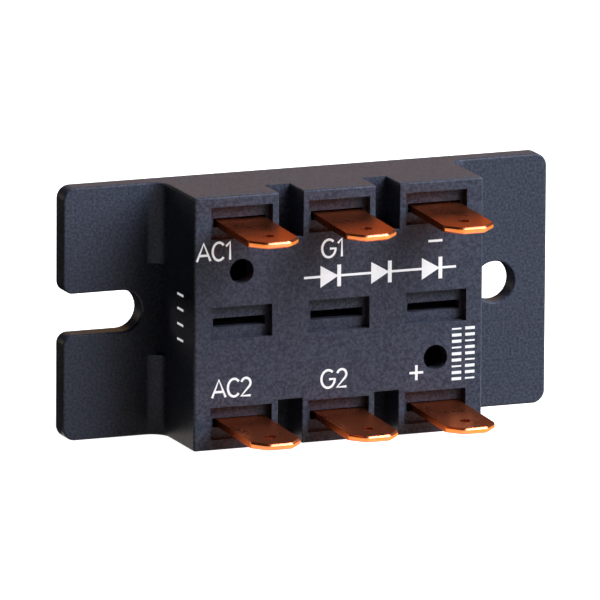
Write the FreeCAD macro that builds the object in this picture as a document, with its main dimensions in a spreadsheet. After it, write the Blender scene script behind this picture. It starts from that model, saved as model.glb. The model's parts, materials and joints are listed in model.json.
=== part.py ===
"""Solid state relay: a potted half-controlled bridge module with quick-connect blades.

Frame: the mounting face is the plane Y = 0 and the origin is its centre. +X runs along the flange,
+Z runs across it, and the terminals point along -Y. A "height" is a distance from the mounting face
towards the terminals, so a point at height h lies at Y = -h. All lengths are in millimetres.
"""
import FreeCAD, Part
import math
import os

import Sketcher

# alias, value in mm (counts and angles are plain numbers), what it measures
DIMENSIONS = [
    ("flange_length", 63.4, "flange, end to end along X"),
    ("case_width", 31.4, "flange and body, across along Z"),
    ("back_height", 0.15, "back of the moulding, so that the base plate stands proud"),
    ("flange_height", 2.8, "front of the flange"),
    ("flange_corner", 1.6, "corner radius of the flange"),
    ("body_length", 37.7, "raised body along X"),
    ("front_height", 13.6, "front face of the body"),
    ("edge_round", 0.3, "moulded edge radius"),
    ("cove_radius", 2.1, "concave radius between flange and body ends"),
    ("relief_width", 11.4, "gap in the cove for a screw head, along Z"),
    ("hole_spacing", 49.0, "slot centre to hole centre"),
    ("hole_centre", 24.9, "round mounting hole along X"),
    ("hole_diameter", 5.1, "mounting hole, and width of the slot"),
    ("mouth_round", 1.3, "corner radius of the slot's mouth"),
    ("column_pitch", 12.7, "terminal columns along X"),
    ("row_pitch", 12.4, "terminal rows along Z"),
    ("pocket_length", 8.0, "terminal pocket along X"),
    ("pocket_width", 4.0, "terminal pocket along Z"),
    ("pocket_depth", 1.2, "terminal pocket"),
    ("opening_length", 6.8, "blade opening along X"),
    ("opening_width", 1.12, "blade opening along Z"),
    ("opening_shift", 0.13, "openings off the pockets' centres along X"),
    ("opening_drop", 0.14, "openings off the pockets' centres towards -Z"),
    ("notch_centre", 6.3, "notch between columns along X"),
    ("notch_length", 3.15, "notch along X"),
    ("notch_reach", 5.65, "notch, from the body's edge inwards"),
    ("notch_floor", 9.0, "bottom of the notch"),
    ("fill_diameter", 3.1, "fill hole"),
    ("fill_x", 12.7, "fill holes along X, either side"),
    ("fill_z", 6.3, "fill holes along Z, either side"),
    ("cavity_length", 34.4, "cavity along X"),
    ("cavity_width", 28.0, "cavity along Z"),
    ("lower_ceiling", 7.8, "cavity ceiling under the notches"),
    ("upper_ceiling", 11.3, "cavity ceiling elsewhere"),
    ("band_width", 17.7, "raised middle of the cavity along Z"),
    ("middle_bay", 7.05, "cavity bay behind the middle column, along X"),
    ("side_bay_inner", 9.075, "inner wall of the side bays along X"),
    ("plate_length", 35.6, "base plate along X"),
    ("plate_width", 29.0, "base plate along Z"),
    ("plate_thick", 2.0, "base plate"),
    ("plate_corner", 1.0, "base plate corner radius"),
    ("plate_gap", 0.12, "gap round the base plate"),
    ("seal_thick", 0.2, "adhesive between base plate and ledge"),
    ("solder_thick", 0.12, "solder layers"),
    ("foil_thick", 0.3, "copper on either side of the ceramic"),
    ("ceramic_thick", 0.63, "ceramic"),
    ("ceramic_length", 33.0, "ceramic along X"),
    ("ceramic_width", 26.6, "ceramic along Z"),
    ("foil_margin", 0.4, "ceramic left bare round the copper"),
    ("foil_gap", 0.8, "gap between copper pads"),
    ("gate_pad_length", 7.0, "gate pad along X"),
    ("gate_pad_width", 4.4, "gate pad along Z"),
    ("negative_edge", -1.6, "lower edge of the negative pad along Z"),
    ("bus_reach", 7.6, "half width of the positive bus along Z"),
    ("die_thick", 0.35, "semiconductor dies"),
    ("scr_size", 4.4, "thyristor die"),
    ("scr_x", -7.1, "thyristor dies along X"),
    ("scr_z", 3.5, "thyristor dies along Z, either side"),
    ("rectifier_size", 3.8, "rectifier die"),
    ("rectifier_x", -13.0, "rectifier dies along X"),
    ("rectifier_z", 4.2, "rectifier dies along Z, either side"),
    ("freewheel_x", 10.6, "freewheel die along X"),
    ("freewheel_z", -6.0, "freewheel die along Z"),
    ("clip_thick", 0.4, "copper clips"),
    ("clip_width", 2.6, "copper clips"),
    ("clip_foot", 2.4, "landing of a clip"),
    ("clip_crown", 5.0, "underside of the low clips"),
    ("bridge_crown", 6.1, "underside of the rectifier clip"),
    ("wire_diameter", 0.4, "gate wires"),
    ("wire_bend", 0.8, "bend radius of the gate wires"),
    ("wire_crown", 5.6, "centre line of the gate wires at their highest"),
    ("gate_x", -5.6, "gate contact on the thyristor dies along X"),
    ("gate_z", 5.1, "gate contact on the thyristor dies along Z, either side"),
    ("bond_x", -2.4, "gate wire's end on the gate pad along X"),
    ("bond_z", 9.05, "gate wire's end on the gate pad along Z, either side"),
    ("blade_width", 6.35, "quick-connect blade"),
    ("blade_thick", 0.8, "quick-connect blade"),
    ("blade_tip", 25.2, "tip of the blades"),
    ("tip_chamfer", 1.6, "corners of the blade's tip"),
    ("tip_round", 1.2, "radius where those corners meet the very tip"),
    ("lean_height", 10.95, "where the blades leave the epoxy and begin to lean"),
    ("lean_lap", 0.3, "leaning part's overlap with the straight stem"),
    ("upper_shift", 0.2, "upper blades off their pockets' centres along X"),
    ("upper_drop", 0.15, "upper blades off their pockets' centres towards -Z"),
    ("upper_lean", 1.86, "upper blades towards -Z, in degrees"),
    ("upper_sway", 0.0, "upper blades' tips off their stems along X"),
    ("lower_shift", 0.28, "lower blades off their pockets' centres along X"),
    ("lower_drop", 0.0, "lower blades off their pockets' centres towards -Z"),
    ("lower_lean", 2.87, "lower blades towards -Z, in degrees"),
    ("lower_sway", 0.38, "lower blades' tips off their stems along X"),
    ("lead_in", 0.22, "bevel round the blade's tip"),
    ("detent_diameter", 1.35, "detent hole in the blade"),
    ("detent_back", 3.4, "detent hole, back from the tip"),
    ("foot_reach", 3.2, "blade foot along Z"),
    ("bend_outer", 1.0, "outside of the blade's bend"),
    ("bend_inner", 0.25, "inside of the blade's bend"),
    ("gel_top", 7.0, "top of the gel"),
    ("cap_top", 10.7, "top of the epoxy"),
]

# name of the terminal, column (-1, 0, 1), row (-1 or 1)
TERMINALS = [
    ("ac1", -1, 1),
    ("gate1", 0, 1),
    ("negative", 1, 1),
    ("ac2", -1, -1),
    ("gate2", 0, -1),
    ("positive", 1, -1),
]

# heights of the layers, each stacked on the one before
PLATE_FRONT = "Dims.plate_thick"
SOLDER_FRONT = f"({PLATE_FRONT} + Dims.solder_thick)"
LOWER_FOIL_FRONT = f"({SOLDER_FRONT} + Dims.foil_thick)"
CERAMIC_FRONT = f"({LOWER_FOIL_FRONT} + Dims.ceramic_thick)"
PAD_FRONT = f"({CERAMIC_FRONT} + Dims.foil_thick)"
FOOT_BASE = f"({PAD_FRONT} + Dims.solder_thick)"
DIE_FRONT = f"({FOOT_BASE} + Dims.die_thick)"

HALF_FOIL_LENGTH = "(Dims.ceramic_length / 2 - Dims.foil_margin)"
HALF_FOIL_WIDTH = "(Dims.ceramic_width / 2 - Dims.foil_margin)"
PAD_INNER = "(Dims.gate_pad_length / 2 + Dims.foil_gap)"

COLUMNS = 3
ROWS = 3
EVEN_SPACING = -1.0  # tells a pattern to keep its own pitch between two copies
TOLERANCE = 0.02


def side(sign):
    """Return "-" for a negative side and "" for a positive one, to go before an expression."""
    return "-" if sign < 0 else ""


def about(centre, size):
    """Return the two ends of a span of the given size about a centre, as expressions."""
    return f"({centre}) - ({size}) / 2", f"({centre}) + ({size}) / 2"


def add_dimensions(doc):
    """Write the driving dimensions to the sheet, one aliased cell each."""
    sheet = doc.addObject("Spreadsheet::Sheet", "Dims")
    for row, (alias, value, meaning) in enumerate(DIMENSIONS, start=1):
        sheet.set(f"A{row}", alias)
        sheet.set(f"B{row}", str(value))
        sheet.set(f"C{row}", meaning)
        sheet.setAlias(f"B{row}", alias)
    doc.recompute()
    return sheet


def add_block(doc, label, x, z, height):
    """Add a box from its ends along X, along Z and in height, each a pair of expressions."""
    box = doc.addObject("Part::Box", label)
    box.Label = label
    box.setExpression("Length", f"({x[1]}) - ({x[0]})")
    box.setExpression("Width", f"({height[1]}) - ({height[0]})")
    box.setExpression("Height", f"({z[1]}) - ({z[0]})")
    box.setExpression("Placement.Base.x", x[0])
    box.setExpression("Placement.Base.y", f"-({height[1]})")
    box.setExpression("Placement.Base.z", z[0])
    return box


def join(doc, label, pieces):
    """Fuse pieces into one solid with no seams."""
    fusion = doc.addObject("Part::MultiFuse", label)
    fusion.Label = label
    fusion.Shapes = pieces
    fusion.Refine = True
    return fusion


def group(doc, label, pieces):
    """Keep separate solids together as one sub-part."""
    compound = doc.addObject("Part::Compound", label)
    compound.Label = label
    compound.Links = pieces
    return compound


def add_body(doc, label):
    """Start a sub-part that is built from sketches."""
    body = doc.addObject("PartDesign::Body", label)
    body.Label = label
    return body


def origin_plane(body, role):
    """Return one of the body's own origin planes."""
    return next(feature for feature in body.Origin.OriginFeatures if feature.Role == role)


def add_sketch(body, name, x="0", z="0", height="0", role="XZ_Plane"):
    """Add a sketch on an origin plane, moved by x, z and height along the sketch's own axes."""
    sketch = body.newObject("Sketcher::SketchObject", name)
    sketch.AttachmentSupport = [(origin_plane(body, role), "")]
    sketch.MapMode = "FlatFace"
    sketch.setExpression("AttachmentOffset.Base.x", x)
    sketch.setExpression("AttachmentOffset.Base.y", z)
    sketch.setExpression("AttachmentOffset.Base.z", height)
    return sketch


def bind(sketch, constraint, name, expression):
    """Add a constraint, name it and bind it to an expression."""
    index = sketch.addConstraint(constraint)
    sketch.renameConstraint(index, name)
    sketch.setExpression(f"Constraints.{name}", expression)


def draw_rectangle(sketch, length, width):
    """Draw a rectangle about the sketch's origin."""
    corners = [FreeCAD.Vector(x, y, 0) for x, y in ((-1, -1), (1, -1), (1, 1), (-1, 1))]
    for start, end in zip(corners, corners[1:] + corners[:1]):
        sketch.addGeometry(Part.LineSegment(start, end), False)
    for edge in range(4):
        sketch.addConstraint(Sketcher.Constraint("Coincident", edge, 2, (edge + 1) % 4, 1))
    for edge, direction in enumerate(("Horizontal", "Vertical", "Horizontal", "Vertical")):
        sketch.addConstraint(Sketcher.Constraint(direction, edge))
    sketch.addConstraint(Sketcher.Constraint("Symmetric", 0, 1, 1, 2, -1, 1))
    bind(sketch, Sketcher.Constraint("DistanceX", 0, 1, 0, 2, 2.0), "length", length)
    bind(sketch, Sketcher.Constraint("DistanceY", 1, 1, 1, 2, 2.0), "width", width)


def draw_circle(sketch, diameter, up=None):
    """Draw a circle about the sketch's origin, or up its vertical axis."""
    sketch.addGeometry(Part.Circle(FreeCAD.Vector(0, 0, 0), FreeCAD.Vector(0, 0, 1), 1.0), False)
    if up is None:
        sketch.addConstraint(Sketcher.Constraint("Coincident", 0, 3, -1, 1))
    else:
        sketch.addConstraint(Sketcher.Constraint("PointOnObject", 0, 3, -2))
        bind(sketch, Sketcher.Constraint("DistanceY", -1, 1, 0, 3, 1.0), "up", up)
    bind(sketch, Sketcher.Constraint("Diameter", 0, 2.0), "diameter", diameter)


def draw_path(sketch, points):
    """Draw joined lines through points given as pairs of expressions, closed back to the first."""
    for index in range(len(points)):
        start = FreeCAD.Vector(index, index * index, 0)
        end = FreeCAD.Vector(index + 1, (index + 1) ** 2, 0)
        sketch.addGeometry(Part.LineSegment(start, end), False)
    for index, (x, y) in enumerate(points):
        before = (index - 1) % len(points)
        sketch.addConstraint(Sketcher.Constraint("Coincident", before, 2, index, 1))
        bind(sketch, Sketcher.Constraint("DistanceX", -1, 1, index, 1, 1.0), f"x{index}", x)
        bind(sketch, Sketcher.Constraint("DistanceY", -1, 1, index, 1, 1.0), f"y{index}", y)


def pad(body, sketch, length, symmetric=False):
    """Raise a sketch into a solid, towards the front or to both sides of its plane."""
    feature = body.newObject("PartDesign::Pad", f"{sketch.Name}_pad")
    feature.Profile = sketch
    feature.setExpression("Length", length)
    if symmetric:
        feature.SideType = "Symmetric"
    body.Document.recompute()
    return feature


def pocket(body, sketch, depth, forwards=False, symmetric=False):
    """Cut a sketch into the body from the front, or forwards from the back."""
    before = body.Shape.Volume
    feature = body.newObject("PartDesign::Pocket", f"{sketch.Name}_cut")
    feature.Profile = sketch
    feature.setExpression("Length", depth)
    feature.Reversed = forwards
    if symmetric:
        feature.SideType = "Symmetric"
    body.Document.recompute()
    if body.Shape.Volume > before - TOLERANCE:
        raise ValueError(f"{feature.Name} removed nothing")
    return feature


def edges_where(shape, test):
    """Name the edges of a shape whose bounding box and length pass a test."""
    return [f"Edge{i}" for i, edge in enumerate(shape.Edges, start=1) if test(edge)]


def dress_edges(body, kind, size_name, size, test):
    """Fillet or chamfer the edges of the body's tip that pass a test."""
    base = body.Tip
    names = edges_where(base.Shape, test)
    if not names:
        raise ValueError(f"no edges for {size_name} on {body.Label}")
    feature = body.newObject(f"PartDesign::{kind}", f"{body.Name}_{size_name}")
    feature.Base = (base, names)
    feature.setExpression("Radius" if kind == "Fillet" else "Size", size)
    body.Document.recompute()
    return feature


def span(edge, axis):
    """Return an edge's lowest and highest coordinate along "X", "Y" or "Z"."""
    box = edge.BoundBox
    return getattr(box, f"{axis}Min"), getattr(box, f"{axis}Max")


def lies_at(edge, axis, value):
    """Say whether the whole edge lies at one coordinate."""
    low, high = span(edge, axis)
    return abs(low - value) < TOLERANCE and abs(high - value) < TOLERANCE


def runs_along(edge, axis):
    """Say whether an edge is straight and parallel to an axis."""
    low, high = span(edge, axis)
    return high - low > edge.Length - TOLERANCE


def add_flange_and_block(body, value):
    """Raise the flange, its rounded corners and the body, with the cove between them."""
    flange = add_sketch(body, "flange", height="Dims.back_height")
    draw_rectangle(flange, "Dims.flange_length", "Dims.case_width")
    pad(body, flange, "Dims.flange_height - Dims.back_height")
    dress_edges(body, "Fillet", "flange_corner", "Dims.flange_corner", lambda edge: runs_along(edge, "Y"))

    block = add_sketch(body, "block", height="Dims.flange_height")
    draw_rectangle(block, "Dims.body_length", "Dims.case_width")
    pad(body, block, "Dims.front_height - Dims.flange_height")
    half_body = value("body_length") / 2

    def foot_of_end(edge):
        at_end = lies_at(edge, "X", half_body) or lies_at(edge, "X", -half_body)
        return at_end and lies_at(edge, "Y", -value("flange_height"))

    dress_edges(body, "Fillet", "cove_radius", "Dims.cove_radius", foot_of_end)


def cut_screw_reliefs(body):
    """Clear the cove beside each fixing, to make room for a screw head."""
    for sign, name in ((-1, "slot_relief"), (1, "hole_relief")):
        middle = f"{side(sign)}(Dims.body_length / 2 + Dims.cove_radius / 2)"
        relief = add_sketch(body, name, x=middle, height="Dims.front_height")
        draw_rectangle(relief, "Dims.cove_radius", "Dims.relief_width")
        pocket(body, relief, "Dims.front_height - Dims.flange_height")


def cut_fixings(body, value):
    """Cut the round hole at one end of the flange and the open slot at the other."""
    hole = add_sketch(body, "mounting_hole", x="Dims.hole_centre", height="Dims.flange_height")
    draw_circle(hole, "Dims.hole_diameter")
    pocket(body, hole, "Dims.flange_height - Dims.back_height")

    slot_end = "(Dims.hole_centre - Dims.hole_spacing)"
    round_end = add_sketch(body, "slot_end", x=slot_end, height="Dims.flange_height")
    draw_circle(round_end, "Dims.hole_diameter")
    pocket(body, round_end, "Dims.flange_height - Dims.back_height")
    open_length = f"({slot_end} + Dims.flange_length / 2)"
    mouth = add_sketch(body, "slot_mouth", x=f"{slot_end} - {open_length} / 2", height="Dims.flange_height")
    draw_rectangle(mouth, open_length, "Dims.hole_diameter")
    pocket(body, mouth, "Dims.flange_height - Dims.back_height")

    def mouth_corner(edge):
        return runs_along(edge, "Y") and lies_at(edge, "X", -value("flange_length") / 2)

    dress_edges(body, "Fillet", "mouth_round", "Dims.mouth_round", mouth_corner)


def round_outside(body, value):
    """Round the moulding's outer edges, before the pockets and notches break them up."""
    half_length = value("body_length") / 2
    half_width = value("case_width") / 2
    cove_foot = half_length + value("cove_radius")

    def rim_of_front(edge):
        return lies_at(edge, "Y", -value("front_height"))

    def outline_of_block(edge):
        on_side = lies_at(edge, "Z", half_width) or lies_at(edge, "Z", -half_width)
        low, high = span(edge, "X")
        beside = low > half_length - TOLERANCE or high < TOLERANCE - half_length
        forward = span(edge, "Y")[1] < TOLERANCE - value("flange_height")
        return on_side and beside and forward

    def rim_of_flange(edge):
        low, high = span(edge, "X")
        outside = low > cove_foot - TOLERANCE or high < TOLERANCE - cove_foot
        straight_end = lies_at(edge, "X", cove_foot) or lies_at(edge, "X", -cove_foot)
        return lies_at(edge, "Y", -value("flange_height")) and outside and not straight_end

    def shows_in_front(edge):
        return rim_of_front(edge) or outline_of_block(edge) or rim_of_flange(edge)

    def rim_of_back(edge):
        return lies_at(edge, "Y", -value("back_height"))

    dress_edges(body, "Fillet", "front_round", "Dims.edge_round", shows_in_front)
    dress_edges(body, "Fillet", "back_round", "Dims.edge_round / 2", rim_of_back)


def cut_notches(body, value):
    """Cut the four notches that part the terminal columns, and round their front edges."""
    for column in (-1, 1):
        for row in (-1, 1):
            name = f"notch_{'left' if column < 0 else 'right'}_{'lower' if row < 0 else 'upper'}"
            reach = "(Dims.notch_reach + 1)"
            middle = f"{side(row)}(Dims.case_width / 2 - Dims.notch_reach + {reach} / 2)"
            notch = add_sketch(body, name, x=f"{side(column)}Dims.notch_centre", z=middle,
                               height="Dims.front_height")
            draw_rectangle(notch, "Dims.notch_length", reach)
            pocket(body, notch, "Dims.front_height - Dims.notch_floor")
    inner_end = value("case_width") / 2 - value("notch_reach")

    def notch_front(edge):
        at_inner_end = lies_at(edge, "Z", inner_end) or lies_at(edge, "Z", -inner_end)
        walls = [value("notch_centre") + sign * value("notch_length") / 2 for sign in (-1, 1)]
        at_wall = any(lies_at(edge, "X", sign * wall) for wall in walls for sign in (-1, 1))
        return lies_at(edge, "Y", -value("front_height")) and (at_inner_end or at_wall)

    dress_edges(body, "Fillet", "notch_round", "Dims.edge_round / 2", notch_front)


def cut_terminal_pockets(body):
    """Cut three columns and three rows of pockets, each with a blade opening in its floor."""
    corner = {"x": "-Dims.column_pitch", "z": "-Dims.row_pitch"}
    recess = add_sketch(body, "terminal_pocket", height="Dims.front_height", **corner)
    draw_rectangle(recess, "Dims.pocket_length", "Dims.pocket_width")
    recess_cut = pocket(body, recess, "Dims.pocket_depth")
    floor = "Dims.front_height - Dims.pocket_depth"
    opening = add_sketch(body, "blade_opening", x="Dims.opening_shift - Dims.column_pitch",
                         z="-Dims.row_pitch - Dims.opening_drop", height=floor)
    draw_rectangle(opening, "Dims.opening_length", "Dims.opening_width")
    opening_cut = pocket(body, opening, f"{floor} - Dims.upper_ceiling + 0.5")

    grid = body.newObject("PartDesign::LinearPattern", "terminal_grid")
    grid.Originals = [recess_cut, opening_cut]
    grid.Direction = (recess, ["H_Axis"])
    grid.Direction2 = (recess, ["V_Axis"])
    grid.Mode = "Spacing"
    grid.Mode2 = "Spacing"
    grid.setExpression("Offset", "Dims.column_pitch")
    grid.setExpression("Offset2", "Dims.row_pitch")
    grid.Occurrences = COLUMNS
    grid.Occurrences2 = ROWS
    grid.Spacings2 = [EVEN_SPACING] * (ROWS - 1)
    body.Tip = grid
    body.Document.recompute()


def cut_fill_holes(body):
    """Cut the two holes that the gel and the epoxy are poured through."""
    for sign, name in ((-1, "fill_hole_left"), (1, "fill_hole_right")):
        hole = add_sketch(body, name, x=f"{side(sign)}Dims.fill_x", z=f"{side(-sign)}Dims.fill_z",
                          height="Dims.front_height")
        draw_circle(hole, "Dims.fill_diameter")
        pocket(body, hole, "Dims.front_height - Dims.upper_ceiling + 0.5")


def cut_cavity(body):
    """Hollow the moulding from the back, in steps that follow the pockets and notches."""
    recess = add_sketch(body, "plate_recess")
    draw_rectangle(recess, "Dims.plate_length + 2 * Dims.plate_gap", "Dims.plate_width + 2 * Dims.plate_gap")
    pocket(body, recess, "Dims.plate_thick + Dims.seal_thick", forwards=True)

    hollow = add_sketch(body, "hollow")
    draw_rectangle(hollow, "Dims.cavity_length", "Dims.cavity_width")
    pocket(body, hollow, "Dims.lower_ceiling", forwards=True)

    band = add_sketch(body, "raised_band")
    draw_rectangle(band, "Dims.cavity_length", "Dims.band_width")
    pocket(body, band, "Dims.upper_ceiling", forwards=True)

    for column in (-1, 0, 1):
        low, high = bay_ends(column)
        bay = add_sketch(body, f"bay_{column + 2}", x=f"(({low}) + ({high})) / 2")
        draw_rectangle(bay, f"({high}) - ({low})", "Dims.cavity_width")
        pocket(body, bay, "Dims.upper_ceiling", forwards=True)


def bay_ends(column):
    """Return the ends along X of the cavity's bay behind a terminal column."""
    if column == 0:
        return about("0", "Dims.middle_bay")
    if column < 0:
        return "-Dims.cavity_length / 2", "-Dims.side_bay_inner"
    return "Dims.side_bay_inner", "Dims.cavity_length / 2"


def make_housing(doc, value):
    """Mould the housing: flange, body, fixings, notches, pockets and cavity."""
    body = add_body(doc, "housing")
    add_flange_and_block(body, value)
    cut_screw_reliefs(body)
    cut_fixings(body, value)
    round_outside(body, value)
    cut_notches(body, value)
    cut_terminal_pockets(body)
    cut_fill_holes(body)
    cut_cavity(body)
    return body


def make_base_plate(doc):
    """Make the metal plate that carries the heat to the heat sink."""
    body = add_body(doc, "base_plate")
    outline = add_sketch(body, "plate_outline")
    draw_rectangle(outline, "Dims.plate_length", "Dims.plate_width")
    pad(body, outline, "Dims.plate_thick")
    dress_edges(body, "Fillet", "plate_corner", "Dims.plate_corner", lambda edge: runs_along(edge, "Y"))
    dress_edges(body, "Chamfer", "plate_edge", "Dims.plate_gap", lambda edge: lies_at(edge, "Y", 0))
    return body


def make_base_seal(doc):
    """Lay the adhesive ring between the base plate and the housing's ledge."""
    height = (PLATE_FRONT, f"{PLATE_FRONT} + Dims.seal_thick")
    outer = add_block(doc, "seal_outer", about("0", "Dims.plate_length"),
                      about("0", "Dims.plate_width"), height)
    inner = add_block(doc, "seal_inner", about("0", "Dims.cavity_length"),
                      about("0", "Dims.cavity_width"), height)
    ring = doc.addObject("Part::Cut", "base_seal")
    ring.Label = "base_seal"
    ring.Base = outer
    ring.Tool = inner
    return ring


def make_ceramic_stack(doc):
    """Stack solder, lower copper and ceramic on the base plate."""
    foil = (about("0", f"2 * {HALF_FOIL_LENGTH}"), about("0", f"2 * {HALF_FOIL_WIDTH}"))
    ceramic = (about("0", "Dims.ceramic_length"), about("0", "Dims.ceramic_width"))
    return [
        add_block(doc, "base_solder", *foil, (PLATE_FRONT, SOLDER_FRONT)),
        add_block(doc, "bottom_copper", *foil, (SOLDER_FRONT, LOWER_FOIL_FRONT)),
        add_block(doc, "ceramic_substrate", *ceramic, (LOWER_FOIL_FRONT, CERAMIC_FRONT)),
    ]


def make_copper_pads(doc):
    """Lay the six copper pads: two AC, two gate, the positive with its bus, and the negative."""
    height = (CERAMIC_FRONT, PAD_FRONT)
    half_gap = "Dims.foil_gap / 2"
    pads = []
    for number, sign in ((1, 1), (2, -1)):
        inner = f"{side(sign)}({half_gap})"
        outer = f"{side(sign)}{HALF_FOIL_WIDTH}"
        z = (inner, outer) if sign > 0 else (outer, inner)
        x = (f"-{HALF_FOIL_LENGTH}", f"-{PAD_INNER}")
        pads.append(add_block(doc, f"copper_pad_ac{number}", x, z, height))
        edge = f"{side(sign)}({HALF_FOIL_WIDTH} - Dims.gate_pad_width)"
        z = (edge, outer) if sign > 0 else (outer, edge)
        pads.append(add_block(doc, f"copper_pad_gate{number}", about("0", "Dims.gate_pad_length"), z, height))

    x = (PAD_INNER, HALF_FOIL_LENGTH)
    pads.append(add_block(doc, "copper_pad_negative", x, ("Dims.negative_edge", HALF_FOIL_WIDTH), height))
    land_top = "Dims.negative_edge - Dims.foil_gap"
    land = add_block(doc, "positive_land", x, (f"-{HALF_FOIL_WIDTH}", land_top), height)
    bus = add_block(doc, "positive_bus", about("0", "Dims.gate_pad_length"),
                    ("-Dims.bus_reach", "Dims.bus_reach"), height)
    neck = add_block(doc, "positive_neck", ("0", PAD_INNER), ("-Dims.bus_reach", land_top), height)
    pads.append(join(doc, "copper_pad_positive", [land, bus, neck]))
    return pads


def die_places():
    """Name each die with its centre along X and Z and its size, as expressions."""
    return [
        ("scr_die_1", "Dims.scr_x", "Dims.scr_z", "Dims.scr_size"),
        ("scr_die_2", "Dims.scr_x", "-Dims.scr_z", "Dims.scr_size"),
        ("rectifier_die_1", "Dims.rectifier_x", "Dims.rectifier_z", "Dims.rectifier_size"),
        ("rectifier_die_2", "Dims.rectifier_x", "-Dims.rectifier_z", "Dims.rectifier_size"),
        ("freewheel_die", "Dims.freewheel_x", "Dims.freewheel_z", "Dims.rectifier_size"),
    ]


def make_dies(doc):
    """Place the five dies, each on its own square of solder."""
    dies = []
    squares = []
    for label, x, z, size in die_places():
        square = (about(x, size), about(z, size))
        squares.append(add_block(doc, f"{label}_solder", *square, (PAD_FRONT, FOOT_BASE)))
        dies.append(add_block(doc, label, *square, (FOOT_BASE, DIE_FRONT)))
    return dies + [group(doc, "die_solder", squares)]


def make_scr_clips(doc):
    """Form the two clips that carry current from the thyristors to the positive bus."""
    clips = []
    crown = ("Dims.clip_crown", "Dims.clip_crown + Dims.clip_thick")
    for number, sign in ((1, 1), (2, -1)):
        across = about(f"{side(sign)}(Dims.scr_z - Dims.clip_width / 4)", "Dims.clip_width")
        die_end = ("Dims.scr_x - Dims.clip_foot / 2", "Dims.scr_x + Dims.clip_foot / 2")
        bus_end = about("-Dims.gate_pad_length / 4", "Dims.clip_foot")
        clips.append(form_clip(doc, f"scr_clip_{number}", die_end, bus_end, across, crown, PAD_FRONT))
    return clips


def form_clip(doc, label, first, second, across, crown, second_base, along="x"):
    """Form a strip that stands on a die at one end and on a pad at the other, with a raised middle."""
    thick = "Dims.clip_thick"
    spans = [
        (first, (DIE_FRONT, f"{DIE_FRONT} + {thick}")),
        ((f"{first[1]} - {thick}", first[1]), (DIE_FRONT, crown[1])),
        ((f"{first[1]} - {thick}", f"{second[0]} + {thick}"), crown),
        ((second[0], f"{second[0]} + {thick}"), (second_base, crown[1])),
        (second, (second_base, f"{second_base} + {thick}")),
    ]
    pieces = []
    for index, (run, height) in enumerate(spans, start=1):
        x, z = (run, across) if along == "x" else (across, run)
        pieces.append(add_block(doc, f"{label}_{index}", x, z, height))
    return join(doc, label, pieces)


def make_freewheel_clip(doc):
    """Form the clip from the freewheel die to the negative pad."""
    crown = ("Dims.clip_crown", "Dims.clip_crown + Dims.clip_thick")
    die_end = about("Dims.freewheel_z", "Dims.clip_foot")
    pad_end = about("0.5", "Dims.clip_foot")
    across = about("Dims.freewheel_x", "Dims.clip_width")
    return form_clip(doc, "freewheel_clip", die_end, pad_end, across, crown, PAD_FRONT, along="z")


def make_rectifier_clip(doc):
    """Form the clip that joins both rectifier dies and bridges over to the negative pad."""
    thick = "Dims.clip_thick"
    crown = ("Dims.bridge_crown", f"Dims.bridge_crown + {thick}")
    across_bar = about("Dims.rectifier_x", "Dims.clip_foot")
    reach = f"Dims.rectifier_z - Dims.clip_foot / 2"
    arm_width = about("0", "Dims.clip_width / 2")
    arm_end = f"{PAD_INNER} + Dims.clip_foot"
    pieces = [
        add_block(doc, "bar", across_bar, (f"-({reach}) - {thick}", f"({reach}) + {thick}"), crown),
        add_block(doc, "arm", ("Dims.rectifier_x", f"{arm_end} - {thick}"), arm_width, crown),
        add_block(doc, "arm_riser", (f"{arm_end} - 2 * {thick}", f"{arm_end} - {thick}"), arm_width,
                  (PAD_FRONT, crown[1])),
        add_block(doc, "arm_foot", (f"{arm_end} - {thick} - Dims.clip_foot", f"{arm_end} - {thick}"),
                  arm_width, (PAD_FRONT, f"{PAD_FRONT} + {thick}")),
    ]
    for number, sign in ((1, 1), (2, -1)):
        inner = (f"{side(sign)}({reach})", f"{side(sign)}({reach} + {thick})")
        foot = (f"{side(sign)}({reach})", f"{side(sign)}({reach} + Dims.clip_foot)")
        if sign < 0:
            inner = inner[::-1]
            foot = foot[::-1]
        pieces.append(add_block(doc, f"bar_riser_{number}", across_bar, inner, (DIE_FRONT, crown[1])))
        foot_height = (DIE_FRONT, f"{DIE_FRONT} + {thick}")
        pieces.append(add_block(doc, f"bar_foot_{number}", across_bar, foot, foot_height))
    return join(doc, "rectifier_clip", pieces)


def make_gate_wire(doc, value, label, sign):
    """Bend a wire from a thyristor's gate, up and over, down to its gate pad."""
    stack = ("plate_thick", "solder_thick", "foil_thick", "foil_thick", "ceramic_thick")
    pad_height = sum(value(layer) for layer in stack)
    die_height = pad_height + value("solder_thick") + value("die_thick")
    start = FreeCAD.Vector(value("gate_x"), -die_height, sign * value("gate_z"))
    end = FreeCAD.Vector(value("bond_x"), -pad_height, sign * value("bond_z"))
    over = FreeCAD.Vector(end.x - start.x, 0, end.z - start.z).normalize()
    front = FreeCAD.Vector(0, -1, 0)
    bend = value("wire_bend")
    crown = value("wire_crown")

    def raised(point, height):
        return FreeCAD.Vector(point.x, -height, point.z)

    first_top = raised(start, crown)
    second_top = raised(end, crown)
    ease = bend * (1 - math.sqrt(0.5))
    spine = Part.Wire([
        Part.LineSegment(start, first_top - front * bend).toShape(),
        Part.Arc(first_top - front * bend, first_top - front * ease + over * ease,
                 first_top + over * bend).toShape(),
        Part.LineSegment(first_top + over * bend, second_top - over * bend).toShape(),
        Part.Arc(second_top - over * bend, second_top - over * ease - front * ease,
                 second_top - front * bend).toShape(),
        Part.LineSegment(second_top - front * bend, end).toShape(),
    ])
    circle = Part.Wire(Part.makeCircle(value("wire_diameter") / 2, start, front))
    wire = doc.addObject("Part::Feature", label)
    wire.Label = label
    wire.Shape = spine.makePipeShell([circle], True, False)
    wire.Placement = FreeCAD.Placement()
    return wire


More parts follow.
